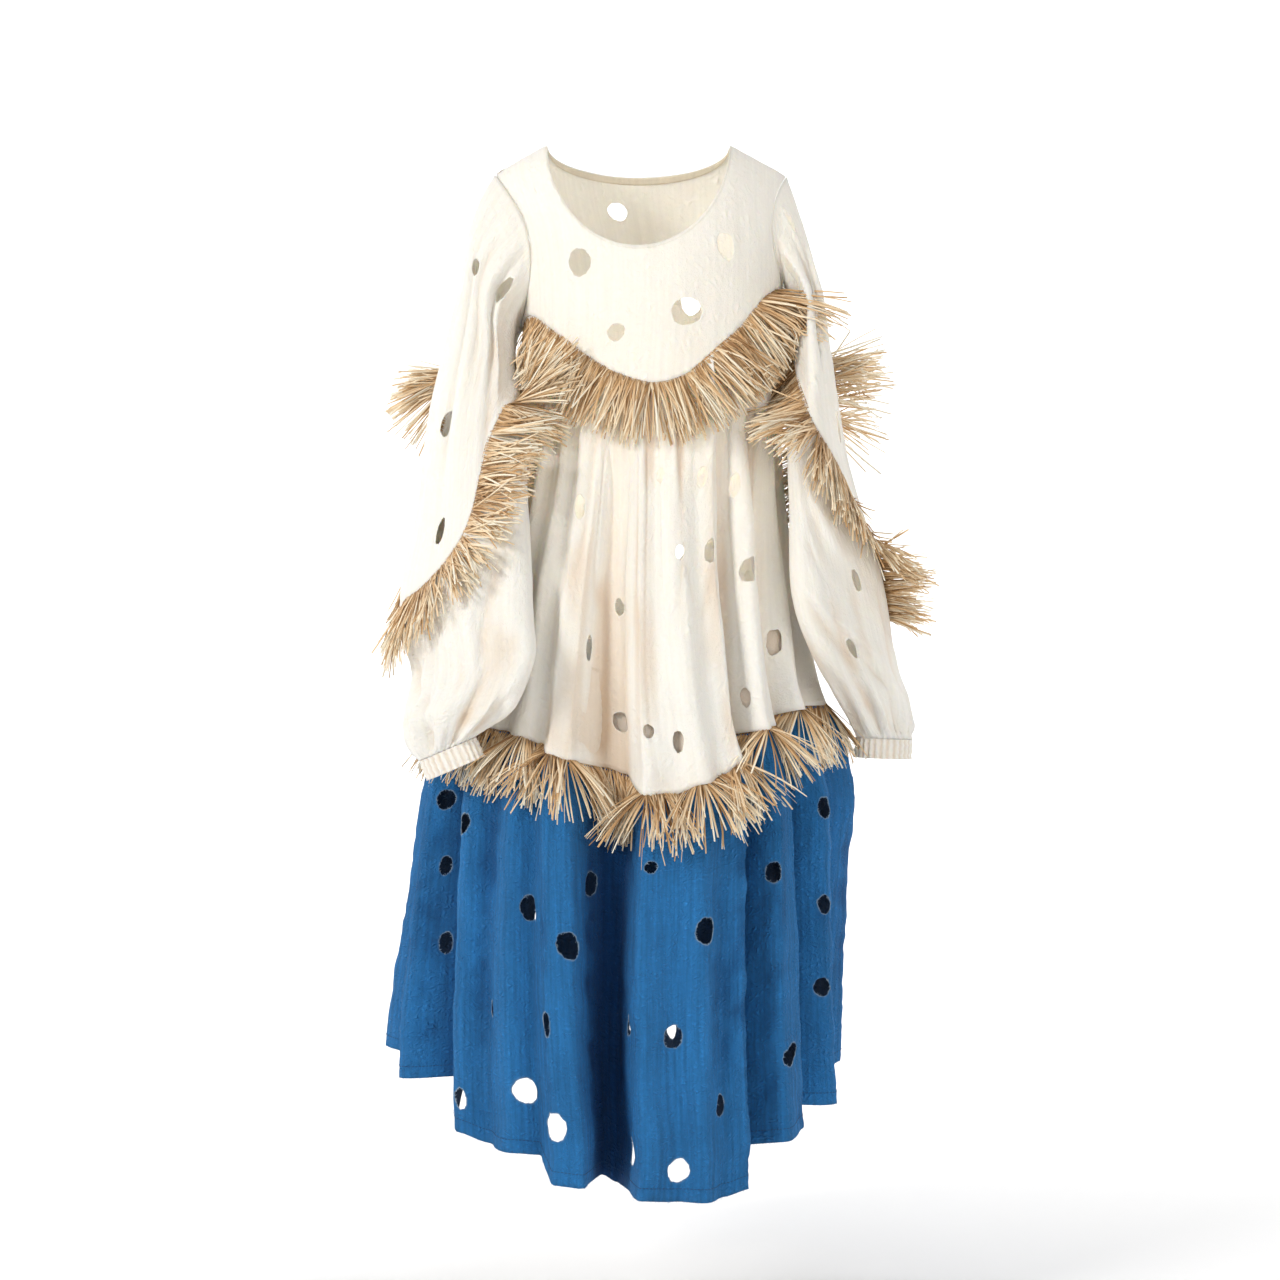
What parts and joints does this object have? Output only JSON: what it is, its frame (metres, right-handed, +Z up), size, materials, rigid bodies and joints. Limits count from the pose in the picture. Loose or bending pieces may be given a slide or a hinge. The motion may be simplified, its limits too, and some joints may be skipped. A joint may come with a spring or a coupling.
{
  "type": "maxi dress",
  "caption": "Hollow floor-length dress with a scoop neck, long gathered sleeves, deep folds in its two tiers, torn round holes and raffia fringes along its seams.",
  "frame": {"origin": "midway between the high shoulder points, where the wearer's shoulders hold the dress", "axes": "+X to the right as seen from the front, -Y out of the front, +Z up from the hem to the shoulders"},
  "size_m": [0.6853, 0.6076, 1.3027],
  "materials": {
    "cream_cotton": "soft crinkled cotton, matt",
    "indigo_cotton": "crinkled indigo cotton, matt",
    "raffia": "dry flat raffia strands, faintly glossy",
    "beige_tape": "plain woven tape, matt"
  },
  "bodies": {
    "root": {"yoke_front": "cream_cotton", "yoke_back": "cream_cotton", "tier_front": "cream_cotton", "tier_back": "cream_cotton", "skirt_front": "indigo_cotton", "skirt_back": "indigo_cotton", "sleeve_left_front": "cream_cotton", "sleeve_left_back": "cream_cotton", "sleeve_right_front": "cream_cotton", "sleeve_right_back": "cream_cotton", "puff_left_front": "cream_cotton", "puff_left_back": "cream_cotton", "puff_right_front": "cream_cotton", "puff_right_back": "cream_cotton", "cuff_left": "cream_cotton", "cuff_right": "cream_cotton", "neck_facing": "beige_tape", "fringe_yoke_front": "raffia", "fringe_yoke_back": "raffia", "fringe_hem_front": "raffia", "fringe_hem_back": "raffia", "fringe_sleeve_left": "raffia", "fringe_sleeve_right": "raffia"}
  },
  "joints": []
}
